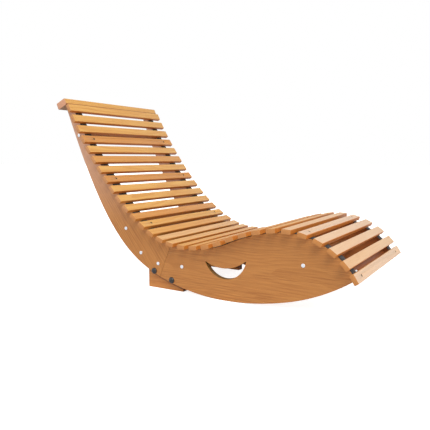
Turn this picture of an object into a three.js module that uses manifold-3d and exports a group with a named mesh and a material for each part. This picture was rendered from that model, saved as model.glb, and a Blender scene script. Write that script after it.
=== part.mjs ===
// Rocking chaise lounge. Thirty slats and a head rail lie on two S-shaped wooden sides, and the
// lower edge of each side is a round runner. Millimetres. +X points to the sitter's feet, +Y to
// the sitter's left and +Z up. The origin is on the floor, under the middle of the outline.
// Every outline is drawn in the X-Z plane and has its thickness along Y.
import * as THREE from 'three';
import { mergeVertices } from 'three/addons/utils/BufferGeometryUtils.js';
import Module from 'manifold-3d';

const wasm = await Module();
wasm.setup();

// Between pieces that touch, and past the faces that a cut goes through
const fit = 0.3;
const overrun = 4;

// Slats, numbered from the head. A share is a place along the row of slats: 0 at the first slat
// and 1 at the last.
const slatCount = 30;
const slatLength = 600;
const slatWidth = 33.5;
const slatThickness = 16;
const slatRounding = 2.5;
const slatEndBevel = 1;
const goldenShare = 0.84;

// The lying curve, which is the underside of the slats. It is a chain of arcs: its slope in
// degrees is given at some shares and changes evenly between them. The last two slats lie closer.
const backPitch = 50.84;
const seatPitch = 53.94;
const lastPitch = 48.5;
const backPitchShare = 0.5;
const footHeight = 141.5;
const slopesAtShares = [
  [0, -62.3], [0.3103, -46.8], [0.4483, -29.6], [0.5517, -1.7], [0.6724, 24.1], [0.7931, 7.7], [1, -57.8],
];
const curveSteps = 20;

// Head rail
const railWidth = 53;
const railThickness = 28;
const railRounding = 3;
const railSlope = 24;
const railGap = 2.3;
const railLip = 6.5;

// Webbing
const strapWidth = 36;
const strapThickness = 1.5;

// Sides: the runner touches the floor under one share of the slats. It is one arc behind that
// point, a flatter one ahead of it, and a third that bends up to the foot end of the lying curve.
// The edge of the back leaves it in one long bend.
const sideThickness = 22;
const sideInset = 40;
const sideDepthAtHead = 38;
const footReach = 6;
const touchingShare = 0.6589;
const frontRadius = 1010;
const backRadius = 820;
const footBendAngle = 14.3;
const runnerEndAngle = 18;
const backTaperAngle = 5.8;
const backBendShare = 0.245;
const backReachShare = 0.63;
const frontSteps = 12;
const footSteps = 14;
const runnerBackSteps = 14;
const backSteps = 22;

// Seam between the two boards of a side, between two slats
const seamShare = 0.5048;
const seamAngle = 22.6;

// Crescent handle hole, measured from the runner's touching point
const crescentX = 3.6;
const crescentZ = 147;
const crescentLength = 172;
const crescentAngle = 5.6;
const crescentLowerDrop = 67;
const crescentUpperDrop = 28;
const crescentTipRadius = 7;
const crescentSteps = 24;
const crescentTipSteps = 3;

// Connecting bolts: silver, flat head with a hex socket
const boltSteps = 12;
const boltHeadDiameter = 13.5;
const boltHeadHeight = 2.4;
const boltHeadChamfer = 0.6;
const boltSocketWidth = 5;
const boltSocketDepth = 1.4;
const boltShankDiameter = 6;
const boltGrip = 40;

// Stop bolts: black, domed head, with a nut inside
const stopBoltSteps = 16;
const stopHeadDiameter = 23;
const stopHeadHeight = 7;
const stopDomeSteps = 4;
const stopShankDiameter = 8;
const stopNutDiameter = 14;
const stopNutHeight = 6;
const stopThreadEnd = 2;

// Cross rails: boards between the sides, with one bolt at each end. They lie flat under the
// slats, but the hip rail is wider and stands upright, with its bolt nearer to its lower edge.
const crossRailWidth = 50;
const hipRailWidth = 84;
const hipRailBelowBolt = 28;
const crossRailThickness = 24;
const boardRounding = 2;
const headRailDepth = 32;
const loinRailDepth = 75.8;
const hipRailDepth = 106.8;
const footRailDepth = 93.5;
const crossRails = [
  { name: 'cross_rail_head', share: 0.0707, depth: headRailDepth, upright: false },
  { name: 'cross_rail_loin', share: 0.3655, depth: loinRailDepth, upright: false },
  { name: 'cross_rail_hip', share: 0.4348, depth: hipRailDepth, upright: true },
  { name: 'cross_rail_foot', share: 0.8793, depth: footRailDepth, upright: false },
];

// Stop blocks: inside the sides, down to the floor, each on two domed bolts. The bolts are placed
// from the foot of the seam and from the lower edge of the sides.
const stopBlockThickness = 30;
const stopBackBoltBehindSeam = 26.9;
const stopBackBoltAboveEdge = 8.4;
const stopFrontBoltAheadOfSeam = 57.3;
const stopFrontBoltAboveEdge = 11.5;
const stopBlockBehindBolt = 45.5;
const stopBlockAheadOfBolt = 38.3;
const stopBlockAboveBolt = 15.4;

// Joint board: ties both boards of both sides, and lies just over the stop blocks
const jointBoltBehindSeam = 7.5;
const jointBoltAheadOfSeam = 106.4;
const jointBoardEdge = 17;
const jointBoardLift = 4;

// Derived places across the width
const sideOuter = slatLength / 2 - sideInset;
const sideInner = sideOuter - sideThickness;
const strapDepth = fit;
const sideDepth = strapDepth + strapThickness + fit;

const woods = {
  slat: { color: 0xdea55a, roughness: 0.6, metalness: 0 },
  paleSlat: { color: 0xe8c8a0, roughness: 0.6, metalness: 0 },
  side: { color: 0xb97a42, roughness: 0.65, metalness: 0 },
  inner: { color: 0x8a5228, roughness: 0.7, metalness: 0 },
};
const webbing = { color: 0x1d2126, roughness: 0.85, metalness: 0 };
const silver = { color: 0xc9ced6, roughness: 0.3, metalness: 0.9 };
const black = { color: 0x17181a, roughness: 0.25, metalness: 0.2 };

const radians = THREE.MathUtils.degToRad;
const squareAngle = 90;

// Unit vector of the X-Z plane at a slope in degrees
function heading(slope) {
  return new THREE.Vector2(Math.cos(radians(slope)), Math.sin(radians(slope)));
}

// A share as a slat number, which has a fraction between two slats
function numberAt(share) {
  return 1 + share * (slatCount - 1);
}

const slopeStations = slopesAtShares.map(([share, slope]) => [numberAt(share), slope]);

function slopeAt(number) {
  const next = slopeStations.findIndex(([station]) => station >= number);
  if (next === 0) return slopeStations[0][1];
  if (next < 0) return slopeStations.at(-1)[1];
  const [[before, slope], [after, nextSlope]] = slopeStations.slice(next - 1, next + 1);
  return THREE.MathUtils.mapLinear(number, before, after, slope, nextSlope);
}

// The way along the lying curve from a slat to the next
function pitchAfter(number) {
  if (number === slatCount - 1) return lastPitch;
  return number < numberAt(backPitchShare) ? backPitch : seatPitch;
}

// Underside centres of the slats, from the head, with the last one at the height of the foot end
function layOutSlats() {
  const centres = [new THREE.Vector2(0, 0)];
  for (let number = 1; number < slatCount; number += 1) {
    const step = pitchAfter(number) / curveSteps;
    const centre = centres.at(-1).clone();
    for (let i = 0.5; i < curveSteps; i += 1) {
      centre.addScaledVector(heading(slopeAt(number + i / curveSteps)), step);
    }
    centres.push(centre);
  }
  const lift = footHeight - centres.at(-1).y;
  centres.forEach((centre) => { centre.y += lift; });
  return centres;
}

const slatCentres = layOutSlats();

// Place on the lying curve at a slat number
function curveAt(number) {
  const index = Math.min(Math.floor(number), slatCount - 1) - 1;
  return slatCentres[index].clone().lerp(slatCentres[index + 1], number - index - 1);
}

// The point at a distance along a slat and a depth below its underside
function pointBelow(number, along, depth) {
  const slope = slopeAt(number);
  const point = curveAt(number).addScaledVector(heading(slope), along);
  return point.addScaledVector(heading(slope + squareAngle), -depth);
}

// The line that ends the back, under the head rail: it starts where the lying curve ends
const backEnd = pointBelow(1, -(slatWidth / 2 + railGap + fit), 0);

function backEndAt(depth) {
  const slant = radians(slopeAt(1) + squareAngle - railSlope);
  return backEnd.clone().addScaledVector(heading(railSlope), -depth / Math.cos(slant));
}

// A line at one depth below the slats: flat under each slat, straight from slat to slat. It runs
// from the end of the back to just past the middle of the last slat, where the runner meets it.
function lineBelow(depth) {
  const points = [backEndAt(depth)];
  for (let number = 1; number < slatCount; number += 1) {
    points.push(pointBelow(number, slatWidth / 2, depth), pointBelow(number + 1, -slatWidth / 2, depth));
  }
  return [...points, pointBelow(slatCount, footReach, depth)];
}

const sideTop = lineBelow(sideDepth);

const footCorner = sideTop.at(-1);
const touchingX = curveAt(numberAt(touchingShare)).x;

// Points on an arc, after its start: it leaves the start along a slope and ends along another
function arcFrom(start, radius, slope, endSlope, steps) {
  const centre = start.clone().addScaledVector(heading(slope + squareAngle), radius);
  const points = [];
  for (let i = 1; i <= steps; i += 1) {
    const angle = THREE.MathUtils.lerp(slope, endSlope, i / steps) - squareAngle;
    points.push(centre.clone().addScaledVector(heading(angle), radius));
  }
  return points;
}

// The runner from the foot corner to the back. The foot arc goes on smoothly from the front one.
function runnerPoints() {
  const touch = new THREE.Vector2(touchingX, 0);
  const front = arcFrom(touch, frontRadius, 0, footBendAngle, frontSteps);
  const back = arcFrom(touch, backRadius, 0, -runnerEndAngle, runnerBackSteps);
  const chord = footCorner.clone().sub(front.at(-1));
  const turn = THREE.MathUtils.radToDeg(chord.angle()) - footBendAngle;
  const footRadius = chord.length() / (2 * Math.sin(radians(turn)));
  const foot = arcFrom(front.at(-1), footRadius, footBendAngle, footBendAngle + 2 * turn, footSteps);
  return [...[touch, ...front, ...foot].reverse().slice(1), ...back];
}

const runner = runnerPoints();

function backEdgePoints() {
  const start = runner.at(-1);
  const end = backEndAt(sideDepthAtHead);
  const span = start.distanceTo(end);
  const bend = start.clone().addScaledVector(heading(2 * squareAngle - runnerEndAngle), backBendShare * span);
  const reach = end.clone().addScaledVector(heading(slopeAt(1) - backTaperAngle), backReachShare * span);
  return new THREE.CubicBezierCurve(start, bend, reach, end).getPoints(backSteps).slice(1);
}

// The lower edge from the foot corner to the head
const lowerEdge = [footCorner, ...runner, ...backEdgePoints()];

// The first point of the lower edge where a measure of its points falls to zero
function pointOfLowerEdge(measure) {
  const index = lowerEdge.findIndex((point) => measure(point) < 0);
  const [before, after] = lowerEdge.slice(index - 1, index + 1);
  return before.clone().lerp(after, measure(before) / (measure(before) - measure(after)));
}

// The seam leans back from its top at the lying curve to its foot at the lower edge
const seamTop = curveAt(numberAt(seamShare));
const seamRun = Math.tan(radians(seamAngle));
const seamFoot = pointOfLowerEdge((point) => point.x - seamTop.x + (seamTop.y - point.y) * seamRun);

function aboveEdge(x, height) {
  return new THREE.Vector2(x, pointOfLowerEdge((point) => point.x - x).y + height);
}

const railBoltPoints = crossRails.map(({ share, depth }) => pointBelow(numberAt(share), 0, depth));
const stopBoltPoints = [
  aboveEdge(seamFoot.x - stopBackBoltBehindSeam, stopBackBoltAboveEdge),
  aboveEdge(seamFoot.x + stopFrontBoltAheadOfSeam, stopFrontBoltAboveEdge),
];
const stopBlockTop = stopBoltPoints[0].y + stopBlockAboveBolt;
const jointBoardHeight = stopBlockTop + jointBoardLift + crossRailThickness / 2;
const jointBoltPoints = [
  new THREE.Vector2(seamFoot.x - jointBoltBehindSeam, jointBoardHeight),
  new THREE.Vector2(seamFoot.x + jointBoltAheadOfSeam, jointBoardHeight),
];
const boltPoints = [...railBoltPoints.slice(0, -1), ...jointBoltPoints, railBoltPoints.at(-1)];

// Half of the crescent's outline: an arc between the tips that drops below the line of the tips,
// without the stretch at each tip that a small curve replaces
function crescentArc(drop) {
  const half = crescentLength / 2;
  const halfAngle = 2 * Math.atan(drop / half);
  const radius = half / Math.sin(halfAngle);
  const trimmed = halfAngle - crescentTipRadius / radius;
  const points = [];
  for (let i = 0; i <= crescentSteps; i += 1) {
    const angle = THREE.MathUtils.lerp(-trimmed, trimmed, i / crescentSteps);
    points.push(new THREE.Vector2(radius * Math.sin(angle), radius - drop - radius * Math.cos(angle)));
  }
  return points;
}

function crescentHole() {
  const lower = crescentArc(crescentLowerDrop);
  const upper = crescentArc(crescentUpperDrop).reverse();
  const tip = new THREE.Vector2(crescentLength / 2, 0);
  const round = (from, corner, to) => {
    const curve = new THREE.QuadraticBezierCurve(from, corner, to);
    return curve.getPoints(crescentTipSteps).slice(1, -1);
  };
  const outline = [
    ...lower,
    ...round(lower.at(-1), tip, upper[0]),
    ...upper,
    ...round(upper.at(-1), tip.clone().negate(), lower[0]),
  ];
  const origin = new THREE.Vector2(0, 0);
  const centre = new THREE.Vector2(touchingX + crescentX, crescentZ);
  outline.forEach((point) => point.rotateAround(origin, radians(crescentAngle)).add(centre));
  return new THREE.Path(outline);
}

// A flat piece with its outline in the X-Z plane, from y to y + thickness
function plate(shape, thickness, y) {
  const geometry = new THREE.ExtrudeGeometry(shape, { depth: thickness, bevelEnabled: false });
  geometry.rotateX(Math.PI / 2);
  geometry.translate(0, y + thickness, 0);
  return geometry;
}

// A bar along Y with rounded long edges and bevelled ends, centred on y, that starts at x and z
function bar(x, z, width, thickness, length, rounding) {
  const [right, top] = [x + width, z + thickness];
  const shape = new THREE.Shape();
  shape.absarc(right - rounding, z + rounding, rounding, -Math.PI / 2, 0);
  shape.absarc(right - rounding, top - rounding, rounding, 0, Math.PI / 2);
  shape.absarc(x + rounding, top - rounding, rounding, Math.PI / 2, Math.PI);
  shape.absarc(x + rounding, z + rounding, rounding, Math.PI, 1.5 * Math.PI);
  shape.closePath();
  const bevel = slatEndBevel;
  const geometry = new THREE.ExtrudeGeometry(shape, {
    depth: length - 2 * bevel,
    curveSegments: 1,
    bevelSegments: 1,
    bevelThickness: bevel,
    bevelSize: bevel,
    bevelOffset: -bevel,
  });
  geometry.translate(0, 0, bevel - length / 2);
  geometry.rotateX(Math.PI / 2);
  return geometry;
}

function toSolid(geometry) {
  const bare = geometry.clone();
  bare.deleteAttribute('normal');
  bare.deleteAttribute('uv');
  const merged = mergeVertices(bare);
  return new wasm.Manifold(new wasm.Mesh({
    numProp: 3,
    vertProperties: merged.attributes.position.array,
    triVerts: new Uint32Array(merged.index.array),
  }));
}

function toGeometry(solid) {
  const { vertProperties, triVerts } = solid.getMesh();
  const geometry = new THREE.BufferGeometry();
  geometry.setAttribute('position', new THREE.BufferAttribute(vertProperties, 3));
  geometry.setIndex(new THREE.BufferAttribute(triVerts, 1));
  geometry.computeVertexNormals();
  return geometry;
}

// Cuts a hole for a shank through a piece, along Y, at each point of the X-Z plane
function drill(solid, points, shankDiameter) {
  const radius = shankDiameter / 2 + fit;
  return points.reduce((rest, point) => {
    const hole = new THREE.CylinderGeometry(radius, radius, slatLength + 2 * overrun, boltSteps);
    hole.translate(point.x, 0, point.y);
    return rest.subtract(toSolid(hole));
  }, solid);
}

// One whole side with all its holes, not yet parted at the seam
function wholeSide(y) {
  const shape = new THREE.Shape([...sideTop, ...lowerEdge.slice(1)]);
  shape.holes.push(crescentHole());
  const blank = toSolid(plate(shape, sideThickness, y));
  return drill(drill(blank, boltPoints, boltShankDiameter), stopBoltPoints, stopShankDiameter);
}

// Everything on one side of the seam: -1 keeps the back board, 1 keeps the runner board
function seamBlock(direction) {
  const span = 2 * slatCount * (backPitch + seatPitch);
  const block = new THREE.BoxGeometry(span, span, span);
  block.translate(direction * (span + fit) / 2, 0, 0);
  block.rotateY(radians(seamAngle));
  block.translate(seamTop.x, 0, seamTop.y);
  return toSolid(block);
}

function connectingBolt() {
  const head = boltHeadDiameter / 2;
  const shank = boltShankDiameter / 2;
  const hex = boltSocketWidth / 2;
  const end = fit + sideThickness + fit + boltGrip;
  const profile = [
    [0, -boltHeadHeight], [head - boltHeadChamfer, -boltHeadHeight], [head, boltHeadChamfer - boltHeadHeight],
    [head, 0], [shank, 0], [shank, end - shank], [0, end],
  ];
  const body = new THREE.LatheGeometry(profile.map(([radius, y]) => new THREE.Vector2(radius, y)), boltSteps);
  const socket = new THREE.CylinderGeometry(hex, hex, boltSocketDepth + overrun, 6);
  socket.translate(0, boltSocketDepth - boltHeadHeight - (boltSocketDepth + overrun) / 2, 0);
  return toGeometry(toSolid(body).subtract(toSolid(socket)));
}

function stopBolt() {
  const head = stopHeadDiameter / 2;
  const shank = stopShankDiameter / 2;
  const nutSeat = fit + sideThickness + fit + stopBlockThickness + fit;
  const profile = [new THREE.Vector2(0, -stopHeadHeight)];
  for (let i = 1; i <= stopDomeSteps; i += 1) {
    const angle = (Math.PI / 2) * (i / stopDomeSteps);
    profile.push(new THREE.Vector2(Math.sin(angle) * head, -Math.cos(angle) * stopHeadHeight));
  }
  const end = nutSeat + stopNutHeight + stopThreadEnd;
  profile.push(new THREE.Vector2(shank, 0), new THREE.Vector2(shank, end), new THREE.Vector2(0, end));
  const nut = new THREE.CylinderGeometry(stopNutDiameter / 2, stopNutDiameter / 2, stopNutHeight, 6);
  nut.translate(0, nutSeat + stopNutHeight / 2, 0);
  return toGeometry(toSolid(new THREE.LatheGeometry(profile, stopBoltSteps)).add(toSolid(nut)));
}

// A board between the sides, with a blind bore in each end for each bolt, at x along its width
function boredBoard(width, boltPlaces) {
  const length = 2 * (sideInner - fit);
  const [x, z] = [-width / 2, -crossRailThickness / 2];
  let board = toSolid(bar(x, z, width, crossRailThickness, length, boardRounding));
  const radius = boltShankDiameter / 2 + fit;
  const depth = boltGrip + fit;
  for (const boltPlace of boltPlaces) {
    for (const end of [-1, 1]) {
      const bore = new THREE.CylinderGeometry(radius, radius, depth + overrun, boltSteps);
      bore.translate(boltPlace, end * (length / 2 - depth + (depth + overrun) / 2), 0);
      board = board.subtract(toSolid(bore));
    }
  }
  return toGeometry(board);
}

function stopBlock(y) {
  const [back, front] = stopBoltPoints;
  const left = back.x - stopBlockBehindBolt;
  const right = front.x + stopBlockAheadOfBolt;
  const shape = new THREE.Shape([
    new THREE.Vector2(left, 0), new THREE.Vector2(right, 0), front.clone().setX(right),
    new THREE.Vector2(right - (stopBlockTop - front.y), stopBlockTop), new THREE.Vector2(left, stopBlockTop),
  ]);
  return toGeometry(drill(toSolid(plate(shape, stopBlockThickness, y)), stopBoltPoints, stopShankDiameter));
}

function strap(y) {
  const under = lineBelow(strapDepth + strapThickness).reverse();
  return plate(new THREE.Shape([...lineBelow(strapDepth), ...under]), strapWidth, y);
}

const lounge = new THREE.Group();

function addPiece(name, geometry, finish) {
  const piece = new THREE.Mesh(geometry, new THREE.MeshStandardMaterial(finish));
  piece.name = name;
  lounge.add(piece);
  return piece;
}

// Puts a piece at a point of the X-Z plane, turned to a slope
function place(piece, point, slope) {
  piece.position.set(point.x, 0, point.y);
  piece.rotation.y = -radians(slope);
}

const slat = bar(-slatWidth / 2, 0, slatWidth, slatThickness, slatLength, slatRounding);
for (let number = 1; number <= slatCount; number += 1) {
  const name = `slat_${String(number).padStart(2, '0')}`;
  const finish = number > numberAt(goldenShare) ? woods.paleSlat : woods.slat;
  place(addPiece(name, slat, finish), slatCentres[number - 1], slopeAt(number));
}

const headRail = bar(railLip - railWidth, fit, railWidth, railThickness, slatLength, railRounding);
place(addPiece('head_rail', headRail, woods.slat), backEnd, railSlope);

crossRails.forEach(({ name, share, upright }, i) => {
  const slope = upright ? squareAngle : slopeAt(numberAt(share));
  const width = upright ? hipRailWidth : crossRailWidth;
  const boltPlace = upright ? hipRailBelowBolt - hipRailWidth / 2 : 0;
  const middle = railBoltPoints[i].clone().addScaledVector(heading(slope), -boltPlace);
  place(addPiece(name, boredBoard(width, [boltPlace]), woods.inner), middle, slope);
});

const jointHalf = jointBoltPoints[0].distanceTo(jointBoltPoints[1]) / 2;
const jointCentre = jointBoltPoints[0].clone().lerp(jointBoltPoints[1], 0.5);
const jointBoard = boredBoard(2 * (jointHalf + jointBoardEdge), [-jointHalf, jointHalf]);
place(addPiece('joint_board', jointBoard, woods.inner), jointCentre, 0);

const silverBolt = connectingBolt();
const blackBolt = stopBolt();
for (const [hand, sign] of [['right', -1], ['left', 1]]) {
  const at = (inner, thickness) => (sign > 0 ? inner : -inner - thickness);
  const side = wholeSide(at(sideInner, sideThickness));
  addPiece(`back_side_${hand}`, toGeometry(side.intersect(seamBlock(-1))), woods.side);
  addPiece(`rocker_side_${hand}`, toGeometry(side.intersect(seamBlock(1))), woods.side);
  const block = stopBlock(at(sideInner - fit - stopBlockThickness, stopBlockThickness));
  addPiece(`stop_block_${hand}`, block, woods.side);
  addPiece(`strap_${hand}`, strap(at(sideOuter - strapWidth, strapWidth)), webbing);

  const seatBolt = (name, geometry, finish, point) => {
    const bolt = addPiece(name, geometry, finish);
    bolt.position.set(point.x, sign * (sideOuter + fit), point.y);
    bolt.rotation.z = sign > 0 ? Math.PI : 0;
  };
  boltPoints.forEach((point, i) => seatBolt(`connecting_bolt_${hand}_${i + 1}`, silverBolt, silver, point));
  stopBoltPoints.forEach((point, i) => seatBolt(`stop_bolt_${hand}_${i + 1}`, blackBolt, black, point));
}

// The outline is centred over the origin
const chair = new THREE.Group();
chair.add(lounge);
const bounds = new THREE.Box3().setFromObject(chair, true);
lounge.position.x = -(bounds.min.x + bounds.max.x) / 2;

export default chair;
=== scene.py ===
"""Looks of a slatted rocking lounger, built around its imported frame.

The head is at -X, the slats run along Y and +Z is up. All sizes are in metres.
"""

import logging
import math
import random
from collections.abc import Callable
from dataclasses import dataclass, replace
from enum import Enum

import bmesh
import bpy
import numpy as np
from mathutils import Matrix, Vector

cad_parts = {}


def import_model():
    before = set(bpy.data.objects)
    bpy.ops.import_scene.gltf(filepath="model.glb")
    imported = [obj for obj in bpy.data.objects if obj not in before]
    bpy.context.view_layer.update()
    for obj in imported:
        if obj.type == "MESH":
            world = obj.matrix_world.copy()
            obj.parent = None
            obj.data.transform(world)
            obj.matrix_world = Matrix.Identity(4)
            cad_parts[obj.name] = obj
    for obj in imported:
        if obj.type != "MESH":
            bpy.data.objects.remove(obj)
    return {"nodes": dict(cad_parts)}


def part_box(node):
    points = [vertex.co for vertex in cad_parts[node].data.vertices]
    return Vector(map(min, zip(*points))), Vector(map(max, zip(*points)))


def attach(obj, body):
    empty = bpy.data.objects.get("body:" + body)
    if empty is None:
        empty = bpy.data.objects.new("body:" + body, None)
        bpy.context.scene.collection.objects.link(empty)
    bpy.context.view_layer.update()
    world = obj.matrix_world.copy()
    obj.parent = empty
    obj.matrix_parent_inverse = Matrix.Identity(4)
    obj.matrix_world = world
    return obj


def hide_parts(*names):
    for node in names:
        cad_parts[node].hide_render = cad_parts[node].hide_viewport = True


Colour = tuple[float, float, float, float]
Triple = tuple[float, float, float]
Material = bpy.types.Material
Socket = bpy.types.NodeSocket
BMesh = bmesh.types.BMesh
Nodes = dict[str, bpy.types.Object]

LOG = logging.getLogger("lounger")

# The slats' CAD nodes, from the head to the feet.
SLATS = [f"slat_{number:02d}" for number in range(1, 31)]

# Points closer than this are at the same place.
TOUCH = 1e-6

# From these angles an edge stays sharp in the shading: in bars, boards, bolts and small hardware.
SHARP_BAR = math.radians(50)
SHARP_BOARD = math.radians(35)
SHARP_BOLT = math.radians(40)
SHARP_SMALL = math.radians(30)

# The line across the lounger where the head rail meets the first slat: x, z and no radius.
# A painted shadow line runs beside it on the head rail.
RAIL_SEAT = (-0.583, 0.7375, 0.0)

# The runner's arc behind the point where it touches the floor: x and z of its middle, and its radius.
# A painted shadow band runs beside it on the stop blocks, under the side's lower edge.
RUNNER_ARC = (0.151, 0.82, 0.82)


def paint(red: int, green: int, blue: int) -> Colour:
    """Turns a screen colour into the linear colour that a shader takes.

    Args:
        red: Red, from 0 to 255.
        green: Green, from 0 to 255.
        blue: Blue, from 0 to 255.

    Returns:
        The linear colour with full opacity.
    """
    channels = [c / 255 for c in (red, green, blue)]
    linear = [c / 12.92 if c <= 0.04045 else ((c + 0.055) / 1.055) ** 2.4 for c in channels]
    return (*linear, 1.0)


class Hand(Enum):
    """The sitter's two hands, as the sign of Y."""

    RIGHT = -1
    LEFT = 1

    @property
    def word(self) -> str:
        """The hand's name in node names."""
        return self.name.lower()


class Tint(Enum):
    """The tone of a slat's upper face: its share of the pale colour (part paler wood, part painted sheen),
    or of the deep one below 0.
    """

    DEEP = -0.45
    WARM = -0.2
    PLAIN = 0.0
    HONEY = 0.3
    STRAW = 0.6
    CREAM = 0.8
    PALEST = 1.0


class NodeBench:
    """A new material, with short calls that add and join its nodes."""

    def __init__(self, name: str) -> None:
        """Starts a material with a principled shader.

        Args:
            name: The material's name.
        """
        self.material = bpy.data.materials.new(name)
        self.material.use_nodes = True
        self.nodes = self.material.node_tree.nodes
        self.links = self.material.node_tree.links
        self.shader = self.nodes["Principled BSDF"]

    def set(self, node: bpy.types.Node, socket: str | int, value: object) -> None:
        """Gives an input a value, or joins an output to it.

        Args:
            node: The node whose input is set.
            socket: The input's name or number.
            value: A value, or the output to join.
        """
        if isinstance(value, Socket):
            self.links.new(value, node.inputs[socket])
        else:
            node.inputs[socket].default_value = value

    def finish(self, **inputs: object) -> Material:
        """Sets the shader's inputs.

        Args:
            **inputs: Values or outputs by input name, with _ for each space.

        Returns:
            The material.
        """
        for socket, value in inputs.items():
            self.set(self.shader, socket.replace("_", " "), value)
        return self.material

    def attribute(self, name: str, output: str = "Vector") -> Socket:
        """Reads an attribute of the piece.

        Args:
            name: The attribute's name.
            output: Which output of the attribute node to return.

        Returns:
            The attribute's output.
        """
        node = self.nodes.new("ShaderNodeAttribute")
        node.attribute_name = name
        return node.outputs[output]

    def place(self) -> Socket:
        """Reads the place on the piece, in metres."""
        return self.nodes.new("ShaderNodeTexCoord").outputs["Object"]

    def stretch(self, vector: Socket, scale: Triple) -> Socket:
        """Scales a vector by its axes.

        Args:
            vector: The vector to scale.
            scale: The three scales.

        Returns:
            The scaled vector.
        """
        node = self.nodes.new("ShaderNodeMapping")
        self.set(node, "Vector", vector)
        self.set(node, "Scale", scale)
        return node.outputs["Vector"]

    def noise(self, vector: Socket, scale: Triple, detail: float = 2.0, output: str = "Fac") -> Socket:
        """Adds noise.

        Args:
            vector: Where the noise is read.
            scale: How many patches it has to the metre, by axis.
            detail: How many finer layers it has.
            output: Fac or Color.

        Returns:
            The noise.
        """
        node = self.nodes.new("ShaderNodeTexNoise")
        self.set(node, "Vector", self.stretch(vector, scale))
        self.set(node, "Scale", 1.0)
        self.set(node, "Detail", detail)
        return node.outputs[output]

    def wave(self, vector: Socket, kind: str, axis: str, profile: str, gap: float) -> bpy.types.Node:
        """Adds a wave texture, which repeats every pi / 10 of a vector at a scale of 1.

        Args:
            vector: Where the waves are read.
            kind: RINGS or BANDS.
            axis: The middle line of the rings, or the way across the bands.
            profile: The form of one wave.
            gap: The length of one wave.

        Returns:
            The texture's node.
        """
        node = self.nodes.new("ShaderNodeTexWave")
        node.wave_type, node.wave_profile = kind, profile
        node.rings_direction = node.bands_direction = axis
        self.set(node, "Vector", vector)
        self.set(node, "Scale", math.pi / 10 / gap)
        return node

    def ramp(self, factor: Socket, low: float, high: float, start: float = 0.0, end: float = 1.0) -> Socket:
        """Maps a range smoothly onto another and holds it there.

        Args:
            factor: The value to map.
            low: Where the range starts.
            high: Where the range ends.
            start: What low becomes.
            end: What high becomes.

        Returns:
            The mapped value.
        """
        node = self.nodes.new("ShaderNodeMapRange")
        node.interpolation_type = "SMOOTHSTEP"
        for socket, value in zip(("Value", "From Min", "From Max", "To Min", "To Max"),
                                 (factor, low, high, start, end)):
            self.set(node, socket, value)
        return node.outputs["Result"]

    def arithmetic(self, operation: str, first: object, second: object) -> Socket:
        """Adds a step of arithmetic.

        Args:
            operation: The math node's operation.
            first: A number or an output.
            second: A number or an output.

        Returns:
            The result.
        """
        node = self.nodes.new("ShaderNodeMath")
        node.operation = operation
        self.set(node, 0, first)
        self.set(node, 1, second)
        return node.outputs["Value"]

    def times(self, first: object, second: object) -> Socket:
        """Multiplies two numbers or outputs."""
        return self.arithmetic("MULTIPLY", first, second)

    def plus(self, first: object, second: object) -> Socket:
        """Adds two numbers or outputs."""
        return self.arithmetic("ADD", first, second)

    def vector_step(self, operation: str, *inputs: object) -> bpy.types.Node:
        """Adds a step of arithmetic with vectors.

        Args:
            operation: The vector math node's operation.
            *inputs: Vectors or outputs.

        Returns:
            The node.
        """
        node = self.nodes.new("ShaderNodeVectorMath")
        node.operation = operation
        for number, value in enumerate(inputs):
            self.set(node, number, value)
        return node

    def mix(self, factor: object, first: object, second: object, blend: str = "MIX") -> Socket:
        """Mixes two colours.

        Args:
            factor: The second colour's share.
            first: A colour or an output.
            second: A colour or an output.
            blend: How the second colour is laid over the first.

        Returns:
            The mixed colour.
        """
        node = self.nodes.new("ShaderNodeMix")
        node.data_type = "RGBA"
        node.blend_type = blend
        for socket, value in zip((0, 6, 7), (factor, first, second)):
            self.set(node, socket, value)
        return node.outputs[2]

    def bump(self, height: Socket, distance: float, strength: float) -> None:
        """Raises the surface by a height.

        Args:
            height: The height, from 0 to 1.
            distance: What a height of 1 is, in metres.
            strength: How much of it shows.
        """
        node = self.nodes.new("ShaderNodeBump")
        self.set(node, "Height", height)
        self.set(node, "Distance", distance)
        self.set(node, "Strength", strength)
        self.set(self.shader, "Normal", node.outputs["Normal"])


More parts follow.
